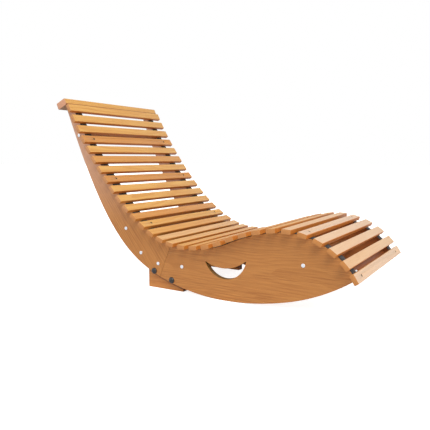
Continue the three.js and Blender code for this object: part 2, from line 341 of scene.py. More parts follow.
@dataclass(frozen=True)
class StainedWood:
    """Satin stained softwood. The piece's grain attribute holds its own along, across and depth.

    A share is how much of a mark shows, a figure is how much of the wood shows through a stain, a
    stretch is how many times longer than wide a patch is, and a scale is in patches to the metre.
    The painted shade colour is painted shade on the faces that the painted_shade attribute marks. The
    height colour is laid on by height: painted light on the inner boards, and a paler, pinker top on
    the back board. The painted shadow edge is a round edge that runs across the lounger, as its x, its
    z and its radius, and the painted shadow beside it ends between two distances from it.
    """

    name: str
    early: Colour
    late: Colour
    streak: Colour
    deep: Colour
    pale: Colour
    end: Colour
    painted_shade: Colour
    pore: Colour
    ring_gap: float = 0.006
    ring_share: float = 0.5
    ring_taper: float = 0.05
    ring_depth: float = 0.3
    wander: float = 0.03
    wander_scale: Triple = (2.2, 9.0, 9.0)
    streak_share: float = 0.5
    streak_least: float = 0.25
    streak_width: float = 0.006
    streak_stretch: float = 28.0
    cloud_share: float = 0.16
    cloud_width: float = 0.035
    cloud_stretch: float = 9.0
    fibre_share: float = 0.14
    fibre_scale: Triple = (24.0, 950.0, 950.0)
    pore_share: float = 0.25
    pore_scale: Triple = (70.0, 2100.0, 2100.0)
    pore_depth: float = 0.6
    pale_figure: float = 0.5
    painted_shade_figure: float = 0.4
    end_figure: float = 0.35
    end_share: float = 0.85
    relief: float = 0.00012
    height_colour: Colour | None = None
    height_low: float = 0.0
    height_high: float = 1.0
    height_share: float = 0.8
    height_figure: float = 0.3
    painted_shadow_edge: Triple | None = None
    painted_shadow_low: float = 0.0
    painted_shadow_high: float = 0.01
    painted_shadow_share: float = 0.8

    def material(self) -> Material:
        """Builds the material.

        Returns:
            The material, which reads the attributes grain, tone, painted_shade and end_grain.
        """
        bench = NodeBench(self.name)
        grain = bench.attribute("grain")
        late = self.rings(bench, grain)
        width, cloud = 1 / self.streak_width, 1 / self.cloud_width
        streaks = bench.noise(grain, (width / self.streak_stretch, width, width), detail=3.0)
        clouds = bench.noise(grain, (cloud / self.cloud_stretch, cloud, cloud), detail=3.0)
        fibre = bench.noise(grain, self.fibre_scale)
        pores = bench.ramp(bench.noise(grain, self.pore_scale, detail=1.0), 0.62, 0.72)
        least = self.streak_least * self.streak_share
        patches = bench.ramp(clouds, 0.3, 0.7, start=least, end=self.streak_share)
        share = bench.times(bench.ramp(streaks, 0.38, 0.72), patches)

        colour = bench.mix(bench.times(late, self.ring_share), self.early, self.late)
        colour = bench.mix(share, colour, self.streak)
        # A positive tone lays on the pale colour, partly paler wood and partly painted sheen; a negative
        # tone lays on the deep colour, which on the foot board is painted shade.
        tone = bench.attribute("tone", "Fac")
        colour = bench.mix(bench.ramp(tone, 0.0, -1.0), colour, self.deep)
        pale = bench.mix(bench.times(share, self.pale_figure), self.pale, colour)
        colour = bench.mix(bench.ramp(tone, 0.0, 1.0), colour, pale)
        cloudy = bench.ramp(clouds, 0.25, 0.75, start=self.cloud_share, end=0.0)
        colour = bench.mix(cloudy, colour, self.deep)
        # Painted shade: the faces that the painted_shade attribute marks take the darker painted shade
        # colour.
        painted_shade = bench.mix(bench.times(share, self.painted_shade_figure), self.painted_shade, colour)
        colour = bench.mix(bench.attribute("painted_shade", "Fac"), colour, painted_shade)
        end = bench.mix(bench.times(late, self.end_figure), self.end, self.late)
        colour = bench.mix(bench.times(bench.attribute("end_grain", "Fac"), self.end_share), colour, end)
        # Colour laid on by height: painted light on the inner boards, a paler, pinker top on the back board.
        if self.height_colour:
            height = bench.nodes.new("ShaderNodeSeparateXYZ")
            bench.set(height, 0, bench.place())
            height_mix = bench.ramp(height.outputs["Z"], self.height_low, self.height_high, end=self.height_share)
            colour = bench.mix(height_mix, colour, bench.mix(self.height_figure, self.height_colour, colour))
        # Painted shadow beside the painted shadow edge.
        if self.painted_shadow_edge:
            colour = bench.mix(self.near_painted_shadow(bench), colour, self.pore)
        dark_fibre = bench.ramp(fibre, 0.3, 0.7, start=self.fibre_share, end=0.0)
        colour = bench.mix(dark_fibre, colour, self.late, "MULTIPLY")
        colour = bench.mix(bench.times(pores, self.pore_share), colour, self.pore)

        height = bench.plus(fibre, bench.times(pores, -self.pore_depth))
        bench.bump(bench.plus(height, bench.times(late, -self.ring_depth)), self.relief, strength=0.6)
        return bench.finish(
            Base_Color=colour,
            Roughness=bench.ramp(fibre, 0.2, 0.8, start=0.42, end=0.6),
            Specular_IOR_Level=0.4,
            Coat_Weight=0.12,
            Coat_Roughness=0.35,
        )

    def rings(self, bench: NodeBench, grain: Socket) -> Socket:
        """Lays the growth rings round a pith that wanders.

        Args:
            bench: The material.
            grain: The place in the board.

        Returns:
            The share of late wood.
        """
        noise = bench.noise(grain, self.wander_scale, output="Color")
        bent = bench.vector_step("MULTIPLY_ADD", noise, (0.0, self.wander, self.wander), grain)
        tapered = bench.stretch(bent.outputs["Vector"], (self.ring_taper, 1.0, 1.0))
        rings = bench.wave(tapered, "RINGS", "X", "SAW", self.ring_gap)
        bench.set(rings, "Distortion", 1.6)
        bench.set(rings, "Detail", 3.0)
        bench.set(rings, "Detail Scale", 0.7)
        return bench.ramp(rings.outputs["Fac"], 0.25, 1.0)

    def near_painted_shadow(self, bench: NodeBench) -> Socket:
        """Measures how close a point is to the painted shadow edge, for the painted shadow beside it.

        Args:
            bench: The material.

        Returns:
            The share of the painted shadow.
        """
        x, z, radius = self.painted_shadow_edge
        flat = bench.vector_step("MULTIPLY_ADD", bench.place(), (1.0, 0.0, 1.0), (-x, 0.0, -z))
        reach = bench.vector_step("LENGTH", flat.outputs["Vector"]).outputs["Value"]
        low, high = radius + self.painted_shadow_low, radius + self.painted_shadow_high
        return bench.ramp(reach, low, high, start=self.painted_shadow_share, end=0.0)


@dataclass(frozen=True)
class Webbing:
    """Plain-woven flat strap. The weave attribute holds the run along the strap and the way across."""

    name: str
    yarn: Colour
    shine: Colour
    pick: float = 0.0016
    fuzz_scale: Triple = (2500.0, 2500.0, 2500.0)
    fuzz_height: float = 0.3
    wear_scale: Triple = (30.0, 60.0, 60.0)
    wear_share: float = 0.35
    relief: float = 0.00035

    def material(self) -> Material:
        """Builds the material.

        Returns:
            The material, which reads the attribute weave.
        """
        bench = NodeBench(self.name)
        weave = bench.attribute("weave")
        warp, weft = (bench.wave(weave, "BANDS", axis, "SIN", self.pick).outputs["Fac"] for axis in "XY")
        under = [bench.arithmetic("SUBTRACT", 1.0, yarn) for yarn in (warp, weft)]
        over = bench.plus(bench.times(warp, weft), bench.times(*under))
        fuzz = bench.noise(weave, self.fuzz_scale)
        wear = bench.noise(weave, self.wear_scale, detail=3.0)
        colour = bench.mix(bench.ramp(over, 0.2, 0.9), self.yarn, self.shine)
        colour = bench.mix(bench.ramp(wear, 0.35, 0.75, end=self.wear_share), colour, self.shine)
        bench.bump(bench.plus(over, bench.times(fuzz, self.fuzz_height)), self.relief, strength=0.8)
        return bench.finish(
            Base_Color=colour,
            Roughness=bench.ramp(fuzz, 0.2, 0.8, start=0.7, end=0.9),
            Sheen_Weight=0.25,
            Sheen_Roughness=0.5,
        )


@dataclass(frozen=True)
class Metal:
    """Plated or painted hardware with fine tool marks."""

    name: str
    colour: Colour
    worn: Colour
    metallic: float
    roughness: float
    coat: float = 0.0
    mark_scale: Triple = (900.0, 900.0, 250.0)
    mark_roughness: float = 0.16
    wear_scale: Triple = (180.0, 180.0, 180.0)
    wear_share: float = 0.6
    relief: float = 0.00004

    def material(self) -> Material:
        """Builds the material.

        Returns:
            The material, which reads the place on the piece.
        """
        bench = NodeBench(self.name)
        marks = bench.noise(bench.place(), self.mark_scale, detail=4.0)
        wear = bench.noise(bench.place(), self.wear_scale, detail=3.0)
        bench.bump(marks, self.relief, strength=0.4)
        rough = self.roughness + self.mark_roughness
        return bench.finish(
            Base_Color=bench.mix(bench.ramp(wear, 0.4, 0.75, end=self.wear_share), self.colour, self.worn),
            Metallic=self.metallic,
            Roughness=bench.ramp(marks, 0.25, 0.75, start=self.roughness, end=rough),
            Coat_Weight=self.coat,
            Coat_Roughness=0.12,
        )


@dataclass(frozen=True)
class FloorPaper:
    """Matt paper with a faint grit, whose glow makes it white to the camera alone."""

    name: str = "floor_paper"
    dark: Colour = paint(236, 236, 236)
    light: Colour = paint(240, 240, 239)
    glow: float = 0.84
    grit_scale: Triple = (40.0, 40.0, 40.0)

    def material(self) -> Material:
        """Builds the material.

        Returns:
            The material, which reads the place on the floor.
        """
        bench = NodeBench(self.name)
        grit = bench.noise(bench.place(), self.grit_scale, detail=3.0)
        path = bench.nodes.new("ShaderNodeLightPath")
        return bench.finish(
            Base_Color=bench.mix(bench.ramp(grit, 0.3, 0.7), self.dark, self.light),
            Roughness=0.9,
            Specular_IOR_Level=0.1,
            Emission_Color=(1, 1, 1, 1),
            Emission_Strength=bench.times(path.outputs["Is Camera Ray"], self.glow),
        )


def add_piece(
    name: str, mesh: bpy.types.Mesh, material: Material, slot: str, *nodes: str
) -> bpy.types.Object:
    """Puts a finished mesh in the scene as a piece of the lounger.

    Args:
        name: The piece's name.
        mesh: Its mesh, in place.
        material: Its finish.
        slot: The record's material slot; not used.
        *nodes: The CAD nodes that it stands for.

    Returns:
        The piece.
    """
    mesh.name = name
    mesh.materials.clear()
    mesh.materials.append(material)
    piece = bpy.data.objects.new(name, mesh)
    bpy.context.scene.collection.objects.link(piece)
    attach(piece, "root")
    if nodes:
        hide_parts(*nodes)
    LOG.info("%s: %d faces", name, len(mesh.polygons))
    return piece


def smooth_mesh(bm: BMesh, sharp: float = SHARP_BAR, place: Matrix | None = None) -> bpy.types.Mesh:
    """Ends a bmesh as a smooth mesh with its sharp edges kept.

    Args:
        bm: The bmesh, which is freed.
        sharp: The angle from which an edge stays sharp.
        place: Where it goes, if it isn't in place yet.

    Returns:
        The mesh.
    """
    if place is not None:
        bmesh.ops.transform(bm, matrix=place, verts=bm.verts)
    mesh = bpy.data.meshes.new("piece")
    bm.to_mesh(mesh)
    bm.free()
    mesh.shade_smooth()
    mesh.set_sharp_from_angle(angle=sharp)
    return mesh


def block(size: Vector) -> BMesh:
    """Starts a bmesh as a block round the origin.

    Args:
        size: Its three sides.

    Returns:
        The block.
    """
    bm = bmesh.new()
    bmesh.ops.create_cube(bm, size=1.0)
    bmesh.ops.scale(bm, verts=bm.verts, vec=size)
    return bm


def round_edges(
    bm: BMesh, edges: list[bmesh.types.BMEdge], width: float, segments: int, slide: bool = False
) -> None:
    """Rounds some edges.

    Args:
        bm: The bmesh to change.
        edges: The edges.
        width: How far the rounding reaches from the edge.
        segments: How many facets it has.
        slide: Whether it slides along the edges beside it, or else is narrowed before it meets them.
    """
    bmesh.ops.bevel(bm, geom=edges, offset=width, offset_type="OFFSET", segments=segments, profile=0.5,
                    affect="EDGES", clamp_overlap=not slide, loop_slide=slide, material=-1)


def cad_copy(node: bpy.types.Object, weld: float = 2e-5, flat: float = math.radians(0.3)) -> BMesh:
    """Copies a CAD node as a bmesh with its corners joined and its flat faces whole.

    Args:
        node: The CAD node.
        weld: The distance up to which corners are joined.
        flat: The angle up to which faces are one flat face.

    Returns:
        The copy.
    """
    bm = bmesh.new()
    bm.from_mesh(node.data)
    bmesh.ops.remove_doubles(bm, verts=bm.verts, dist=weld)
    bmesh.ops.dissolve_limit(bm, angle_limit=flat, verts=bm.verts, edges=bm.edges)
    return bm


def cut(bm: BMesh, tool: BMesh) -> BMesh:
    """Cuts one bmesh out of another. Both are freed.

    Args:
        bm: The body.
        tool: What is cut away.

    Returns:
        The cut body.
    """
    made = []
    for source in (bm, tool):
        mesh = bpy.data.meshes.new("cut")
        source.to_mesh(mesh)
        source.free()
        made.append(bpy.data.objects.new("cut", mesh))
        bpy.context.scene.collection.objects.link(made[-1])
    modifier = made[0].modifiers.new("cut", "BOOLEAN")
    modifier.operation, modifier.solver, modifier.object = "DIFFERENCE", "EXACT", made[1]
    bpy.context.view_layer.update()
    evaluated = made[0].evaluated_get(bpy.context.evaluated_depsgraph_get())
    result = bmesh.new()
    result.from_mesh(evaluated.to_mesh())
    evaluated.to_mesh_clear()
    for thing in made:
        mesh = thing.data
        bpy.data.objects.remove(thing)
        bpy.data.meshes.remove(mesh)
    return result


@dataclass(frozen=True)
class Easing:
    """The rounding of every edge whose faces meet at more than a limit."""

    width: float
    segments: int
    limit: float

    def apply(self, bm: BMesh) -> None:
        """Rounds the edges of a bmesh.

        Args:
            bm: The bmesh to change.
        """
        edges = [edge for edge in bm.edges if edge.is_manifold and edge.calc_face_angle() > self.limit]
        round_edges(bm, edges, self.width, self.segments, slide=True)

    def copy(self, node: bpy.types.Object) -> bpy.types.Mesh:
        """Copies a CAD node as a smooth mesh with its edges rounded.

        Args:
            node: The CAD node.

        Returns:
            The mesh.
        """
        bm = cad_copy(node)
        self.apply(bm)
        return smooth_mesh(bm, SHARP_BOARD)


@dataclass(frozen=True)
class BoardFrame:
    """Where a board lies: local X runs along it, Y across its width and Z through it."""

    matrix: Matrix
    size: Vector

    @classmethod
    def across(cls, node: bpy.types.Object) -> "BoardFrame":
        """Measures a straight board that lies across the lounger.

        Args:
            node: The board's CAD node.

        Returns:
            The board's frame, with local Z up and out of the lying side.
        """
        # Rounded to a micrometre, so that each corner counts once
        points = np.unique(np.round([vertex.co for vertex in node.data.vertices], 6), axis=0)
        middle = (points.min(0) + points.max(0)) / 2
        section = (points - middle)[:, [0, 2]]
        wide = np.linalg.eigh(section.T @ section)[1][:, 1]
        wide *= math.copysign(1.0, wide[0])
        axes = np.array([[0, -1, 0], [wide[0], 0, wide[1]], [-wide[1], 0, wide[0]]])
        local = (points - middle) @ axes.T
        matrix = Matrix(axes.T.tolist()).to_4x4()
        matrix.translation = Vector(middle)
        return cls(matrix, Vector((local.max(0) - local.min(0)).tolist()))

    @classmethod
    def upright(cls, name: str, lean: float = 0.0) -> "BoardFrame":
        """Frames a board that stands on edge, along the lounger.

        Args:
            name: The board's CAD node.
            lean: How far its grain turns from level.

        Returns:
            The board's frame, with local Y up and Z to the right hand. Its size is the node's box.
        """
        low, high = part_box(name)
        matrix = Matrix.Rotation(lean, 4, "Y") @ Matrix.Rotation(math.radians(90), 4, "X")
        matrix.translation = (low + high) / 2
        return cls(matrix, high - low)


@dataclass(frozen=True)
class Grain:
    """How the growth rings lie in a board: the pith runs along it at an offset.

    A face counts as upper, as an end or as taking painted shade from a cosine of its angle to that
    direction.
    """

    seed: int
    length: float = 6.0
    spread: float = 0.05
    depth_low: float = 0.03
    depth_high: float = 0.09
    upper_from: float = 0.6
    end_from: float = 0.7
    painted_shade_from: float = 0.6

    def write(
        self, mesh: bpy.types.Mesh, frame: BoardFrame, tone: float = 0.0, painted_shade: Vector | None = None,
        share: float = 1.0
    ) -> None:
        """Writes the attributes that the wood finish reads.

        Args:
            mesh: The board's mesh, in place.
            frame: The board's frame.
            tone: The tone of its upper face, as in Tint, where pale is partly painted sheen.
            painted_shade: The direction of its faces that take painted shade.
            share: How strong the painted shade is.
        """
        chance = random.Random(self.seed)
        shift = Vector((chance.uniform(0, self.length), chance.uniform(-self.spread, self.spread),
                        chance.uniform(self.depth_low, self.depth_high)))
        inverse = frame.matrix.inverted()
        grain = mesh.attributes.new("grain", "FLOAT_VECTOR", "POINT")
        for vertex, value in zip(mesh.vertices, grain.data):
            value.vector = inverse @ vertex.co + shift
        along, _, out = frame.matrix.to_3x3().col
        dark = painted_shade or Vector()
        normals = [face.normal.copy() for face in mesh.polygons]
        for name, shares in (
            ("tone", [tone * (normal.dot(out) > self.upper_from) for normal in normals]),
            ("end_grain", [float(abs(normal.dot(along)) > self.end_from) for normal in normals]),
            ("painted_shade", [share * (normal.dot(dark) > self.painted_shade_from) for normal in normals]),
        ):
            mesh.attributes.new(name, "FLOAT", "FACE").data.foreach_set("value", shares)


@dataclass(frozen=True)
class Bar:
    """A straight bar with rounded long edges, softly eased at its ends."""

    rounding: float
    end_rounding: float

    def build(self, size: Vector) -> BMesh:
        """Builds the bar round the origin, along X.

        Args:
            size: Its length, width and thickness.

        Returns:
            The bar.
        """
        bm = block(size)
        long = [e for e in bm.edges if abs((e.verts[0].co - e.verts[1].co).x) > size.x / 2]
        round_edges(bm, long, self.rounding, segments=4)
        rims = [e for e in bm.edges if all(abs(abs(v.co.x) - size.x / 2) < TOUCH for v in e.verts)]
        round_edges(bm, rims, self.end_rounding, segments=2)
        return bm


@dataclass
class Screws:
    """Countersunk cross-head screws that hold a slat down on the sides.

    A neck is the narrow end of a head or of its countersink. The turns are those of a slat's two heads.
    """

    finish: Material
    head_radius: float = 0.0047
    head_neck: float = 0.0017
    head_depth: float = 0.0028
    sink: float = 0.0008
    sink_radius: float = 0.0055
    sink_neck: float = 0.002
    overcut: float = 0.001
    slot_length: float = 0.0052
    slot_width: float = 0.0012
    slot_depth: float = 0.0014
    turns: tuple[float, float] = (0.5, 1.4)
    segments: int = 32

    def recess(self, places: list[Vector]) -> BMesh:
        """Builds the tool that countersinks a slat.

        Args:
            places: Where the screws stand, on the slat's upper face.

        Returns:
            The cutting tool.
        """
        bm = bmesh.new()
        slope = (self.sink_radius - self.sink_neck) / (self.sink + self.head_depth)
        depth = self.sink + self.head_depth + self.overcut
        for place in places:
            middle = place + Vector((0, 0, self.overcut - depth / 2))
            bmesh.ops.create_cone(bm, cap_ends=True, segments=self.segments, radius1=self.sink_neck,
                                  radius2=self.sink_radius + self.overcut * slope, depth=depth,
                                  matrix=Matrix.Translation(middle))
        return bm

    def head(self) -> BMesh:
        """Builds one head with its cross recess.

        Returns:
            The head, with the middle of its top face at the origin.
        """
        bm = bmesh.new()
        bmesh.ops.create_cone(bm, cap_ends=True, segments=self.segments, radius1=self.head_neck,
                              radius2=self.head_radius, depth=self.head_depth,
                              matrix=Matrix.Translation((0, 0, -self.head_depth / 2)))
        for length, width in ((self.slot_length, self.slot_width), (self.slot_width, self.slot_length)):
            bm = cut(bm, block(Vector((length, width, 2 * self.slot_depth))))
        return bm

    def add(self, slat: str, frame: BoardFrame, places: list[Vector]) -> None:
        """Adds the screws of one slat as one piece.

        Args:
            slat: The slat's name.
            frame: The slat's frame.
            places: Where the screws stand, on the slat's upper face.
        """
        head = smooth_mesh(self.head(), SHARP_SMALL)
        bm = bmesh.new()
        for turn, place in zip(self.turns, places):
            start = len(bm.verts)
            bm.from_mesh(head)
            bm.verts.ensure_lookup_table()
            sunk = Matrix.Translation(place - Vector((0, 0, self.sink)))
            matrix = frame.matrix @ sunk @ Matrix.Rotation(turn, 4, "Z")
            bmesh.ops.transform(bm, matrix=matrix, verts=bm.verts[start:])
        bpy.data.meshes.remove(head)
        add_piece(f"{slat}_screws", smooth_mesh(bm, SHARP_SMALL), self.finish, "zinc_steel")


@dataclass
class SlatRow:
    """The thirty slats and the head rail, with the screws in five of the slats.

    The slats are numbered from the head. Those about the hips are the bright ones, whose lower
    edges take less painted shade, as they catch more light. The stains are those of the upper faces.
    """

    golden: Material
    seat: Material
    pale: Material
    rail: Material
    screws: Screws
    bar: Bar = Bar(rounding=0.0027, end_rounding=0.0010)
    rail_bar: Bar = Bar(rounding=0.0034, end_rounding=0.0010)
    rail_grain: Grain = Grain(77, painted_shade_from=0.15)
    last_back: int = 11
    last_golden: int = 25
    screwed: tuple[int, ...] = (4, 8, 13, 26, 30)
    screw_inset: float = 0.061
    bright: tuple[int, ...] = (10, 11, 12, 13, 14, 15)
    bright_share: float = 0.65
    stain_spread: tuple[float, float] = (-0.1, 0.08)
    stains: tuple[tuple[Tint, tuple[int, ...]], ...] = (
        (Tint.DEEP, (4, 6, 8, 12, 22)),
        (Tint.WARM, (14, 17, 18, 19, 20, 21, 23)),
        (Tint.HONEY, (15, 16)),
        (Tint.STRAW, (25, 29)),
        (Tint.CREAM, (27, 28)),
        (Tint.PALEST, (26, 30)),
    )

    def build(self, nodes: Nodes) -> None:
        """Builds the slats, their screws and the head rail.

        Args:
            nodes: The CAD nodes by name.
        """
        for number, name in enumerate(SLATS, 1):
            frame = BoardFrame.across(nodes[name])
            bm = self.bar.build(frame.size)
            if number in self.screwed:
                reach = frame.size.x / 2 - self.screw_inset
                places = [Vector((end * reach, 0, frame.size.z / 2)) for end in (-1, 1)]
                bm = cut(bm, self.screws.recess(places))
                self.screws.add(name, frame, places)
            mesh = smooth_mesh(bm, place=frame.matrix)
            # Lower-edge faces take painted shade, less of it on the bright slats.
            share = self.bright_share if number in self.bright else 1.0
            Grain(number).write(mesh, frame, self.tint(number), frame.matrix.to_3x3().col[1], share)
            add_piece(f"{name}_board", mesh, *self.finish(number), name)
        frame = BoardFrame.across(nodes["head_rail"])
        mesh = smooth_mesh(self.rail_bar.build(frame.size), place=frame.matrix)
        # The rail's underside takes painted shade.
        self.rail_grain.write(mesh, frame, painted_shade=-frame.matrix.to_3x3().col[2])
        add_piece("head_rail_board", mesh, self.rail, "slat_wood", "head_rail")

    def tint(self, number: int) -> float:
        """Finds the stain on a slat's upper face.

        Args:
            number: The slat's number.

        Returns:
            Its share of the pale colour, which is partly painted sheen, or of the deep one.
        """
        base = next((tint for tint, numbers in self.stains if number in numbers), Tint.PLAIN)
        return base.value + random.Random(number).uniform(*self.stain_spread)

    def finish(self, number: int) -> tuple[Material, str]:
        """Finds the finish of a slat.

        Args:
            number: The slat's number.

        Returns:
            Its material and the record's slot.
        """
        if number > self.last_golden:
            return self.pale, "pale_slat_wood"
        return self.golden if number <= self.last_back else self.seat, "slat_wood"


@dataclass
class SideBoards:
    """The two boards of one side: the back board and the rocker board.

    The low and high of the hole are the x and z of a box round the handle hole, and its wall is
    every face in there whose normal has less than the given share across the lounger.
    """

    back_finish: Material
    rocker_finish: Material
    hand: Hand
    back_seed: int = 104
    rocker_seed: int = 106
    back_lean: float = math.radians(52)
    easing: Easing = Easing(width=0.0013, segments=3, limit=math.radians(55))
    hole_low: tuple[float, float] = (0.06, 0.08)
    hole_high: tuple[float, float] = (0.25, 0.16)
    hole_wall: float = 0.6

    def build(self, nodes: Nodes) -> None:
        """Builds both boards from their CAD nodes, with eased edges.

        Args:
            nodes: The CAD nodes by name.
        """
        for part, seed, lean, finish in (
            ("back", self.back_seed, self.back_lean, self.back_finish),
            ("rocker", self.rocker_seed, 0.0, self.rocker_finish),
        ):
            name = f"{part}_side_{self.hand.word}"
            mesh = self.easing.copy(nodes[name])
            grain = Grain(seed + self.hand.value, spread=0.03, depth_low=0.05, depth_high=0.12)
            # The inner faces take painted shade.
            grain.write(mesh, BoardFrame.upright(name, lean), painted_shade=Vector((0, -self.hand.value, 0)))
            self.mark_hole(mesh)
            piece = add_piece(f"{name}_board", mesh, finish, "side_wood", name)
            piece.modifiers.new("flats", "WEIGHTED_NORMAL").keep_sharp = True

    def mark_hole(self, mesh: bpy.types.Mesh) -> None:
        """Gives the wall of the handle hole the dark end colour: partly end grain, partly painted shade.

        Args:
            mesh: The board's mesh, in place, with its grain written.
        """
        ends = mesh.attributes["end_grain"].data
        for face in mesh.polygons:
            inside = all(low < value < high for low, value, high in
                         zip(self.hole_low, (face.center.x, face.center.z), self.hole_high))
            if inside and abs(face.normal.y) < self.hole_wall:
                ends[face.index].value = 1.0


@dataclass
class InnerFrame:
    """The boards between the sides, the stop blocks, and the plate that holds the right strap's end.

    The foot board and the plate lie in the frame of the last gap between the slats: down is their
    way to the feet, and depth their way under the slats.
    """

    rail_finish: Material
    block_finish: Material
    steel: Material
    rails: tuple[str, ...] = (
        "cross_rail_head", "cross_rail_loin", "cross_rail_hip", "cross_rail_foot", "joint_board"
    )
    rail_seed: int = 200
    block_seed: int = 300
    easing: Easing = Easing(width=0.0006, segments=2, limit=math.radians(40))
    foot_board: Triple = (0.474, 0.05, 0.02)
    foot_bar: Bar = Bar(rounding=0.002, end_rounding=0.001)
    foot_board_depth: float = 0.030
    foot_grain: Grain = Grain(205)
    # The foot board's upper face takes the deep colour in full, as painted shade under the slats.
    foot_painted_shade: float = -1.0
    plate: Triple = (0.040, 0.024, 0.0014)
    plate_down: float = 0.014
    plate_rounding: float = 0.003
    plate_depth: float = 0.0030
    plate_screw: float = 0.0024
    plate_screw_rise: float = 0.5
    plate_screw_down: float = 0.0048

    def build(self, nodes: Nodes) -> None:
        """Builds the boards and the eased blocks, and adds the foot board and the plate.

        Args:
            nodes: The CAD nodes by name.
        """
        for seed, name in enumerate(self.rails, self.rail_seed):
            mesh = smooth_mesh(cad_copy(nodes[name]), SHARP_BOARD)
            Grain(seed).write(mesh, BoardFrame.across(nodes[name]))
            add_piece(f"{name}_board", mesh, self.rail_finish, "rail_wood", name)
        for hand in Hand:
            name = f"stop_block_{hand.word}"
            mesh = self.easing.copy(nodes[name])
            Grain(self.block_seed + hand.value).write(mesh, BoardFrame.upright(name))
            piece = add_piece(f"{name}_board", mesh, self.block_finish, "side_wood", name)
            piece.modifiers.new("flats", "WEIGHTED_NORMAL").keep_sharp = True
        frame = self.foot_frame(nodes)
        self.add_foot_board(frame)
        self.add_plate(frame)

    @staticmethod
    def foot_frame(nodes: Nodes) -> BoardFrame:
        """Finds the middle of the last gap on the underside of the slats.

        Args:
            nodes: The CAD nodes by name.

        Returns:
            The frame of the gap, whose Z points out of the lying side.
        """
        before, last = (BoardFrame.across(nodes[name]) for name in SLATS[-2:])
        down = (last.matrix.translation - before.matrix.translation).normalized()
        along = Vector((0, -1, 0))
        out = along.cross(down)
        matrix = Matrix((along, down, out)).transposed().to_4x4()
        middle = (before.matrix.translation + last.matrix.translation) / 2
        matrix.translation = middle - out * last.size.z / 2
        return BoardFrame(matrix, last.size)

    def add_foot_board(self, frame: BoardFrame) -> None:
        """Adds the board that joins the sides under the last gap.

        Args:
            frame: The frame of the last gap.
        """
        size = Vector(self.foot_board)
        place = frame.matrix @ Matrix.Translation((0, 0, -self.foot_board_depth))
        mesh = smooth_mesh(self.foot_bar.build(size), place=place)
        self.foot_grain.write(mesh, BoardFrame(place, size), self.foot_painted_shade)
        add_piece("foot_board", mesh, self.rail_finish, "rail_wood")

    def add_plate(self, frame: BoardFrame) -> None:
        """Adds the plate that clamps the end of the right strap under the last slat, with its screw.

        Args:
            frame: The frame of the last gap.
        """
        length, _, thickness = self.plate
        bm = block(Vector(self.plate))
        corners = [e for e in bm.edges if abs((e.verts[0].co - e.verts[1].co).z) > thickness / 2]
        round_edges(bm, corners, self.plate_rounding, segments=5)
        screw = bmesh.ops.create_uvsphere(bm, u_segments=20, v_segments=10, radius=self.plate_screw)["verts"]
        bmesh.ops.scale(bm, verts=screw, vec=Vector((1, 1, self.plate_screw_rise)))
        bmesh.ops.translate(bm, verts=screw, vec=Vector((0, self.plate_screw_down, -thickness / 2)))
        side = (self.foot_board[0] - length) / 2
        place = frame.matrix @ Matrix.Translation((side, self.plate_down, -self.plate_depth))
        add_piece("strap_plate", smooth_mesh(bm, SHARP_SMALL, place), self.steel, "zinc_steel")


@dataclass
class Straps:
    """The webbing that lies on the sides, under the slats.

    The spread is how much wider it is where it carries the back, between two places along it, and
    the slope is how far it takes to spread.
    """

    finish: Material
    easing: Easing = Easing(width=0.0004, segments=2, limit=math.radians(50))
    spread: float = 0.009
    spread_from: float = 0.15
    spread_to: float = 0.62
    spread_slope: float = 0.12

    def build(self, nodes: Nodes) -> None:
        """Builds both straps from their CAD nodes.

        Args:
            nodes: The CAD nodes by name.
        """
        middles = [BoardFrame.across(nodes[name]).matrix.translation for name in SLATS]
        for hand in Hand:
            name = f"strap_{hand.word}"
            mesh = self.easing.copy(nodes[name])
            weave = mesh.attributes.new("weave", "FLOAT_VECTOR", "POINT")
            inner = min(abs(vertex.co.y) for vertex in mesh.vertices)
            for vertex, value in zip(mesh.vertices, weave.data):
                run = self.measure(vertex.co, middles)
                if abs(vertex.co.y) < inner + 2 * self.easing.width:
                    vertex.co.y -= hand.value * self.widening(run)
                value.vector = (run, vertex.co.y, 0.0)
            add_piece(f"{name}_web", mesh, self.finish, "webbing", name)

    def widening(self, run: float) -> float:
        """Works out how much further in the webbing reaches.

        Args:
            run: The way along the strap from the first slat.

        Returns:
            The extra width on the inner side.
        """
        rise = (run - self.spread_from) / self.spread_slope
        fall = (self.spread_to - run) / self.spread_slope
        return self.spread * min(max(rise, 0.0), max(fall, 0.0), 1.0)

    @staticmethod
    def measure(point: Vector, middles: list[Vector]) -> float:
        """Measures the way along the row of slats to a point.

        Args:
            point: The point.
            middles: The middles of the slats.

        Returns:
            The length along the chain of middles to the place nearest to the point.
        """
        flat = Vector((point.x, 0, point.z))
        best, run, answer = math.inf, 0.0, 0.0
        for start, end in zip(middles, middles[1:]):
            a, b = Vector((start.x, 0, start.z)), Vector((end.x, 0, end.z))
            span = (b - a).length
            share = (flat - a).dot(b - a) / span ** 2
            foot = a.lerp(b, min(max(share, 0.0), 1.0))
            if (flat - foot).length < best:
                best, answer = (flat - foot).length, run + share * span
            run += span
        return answer


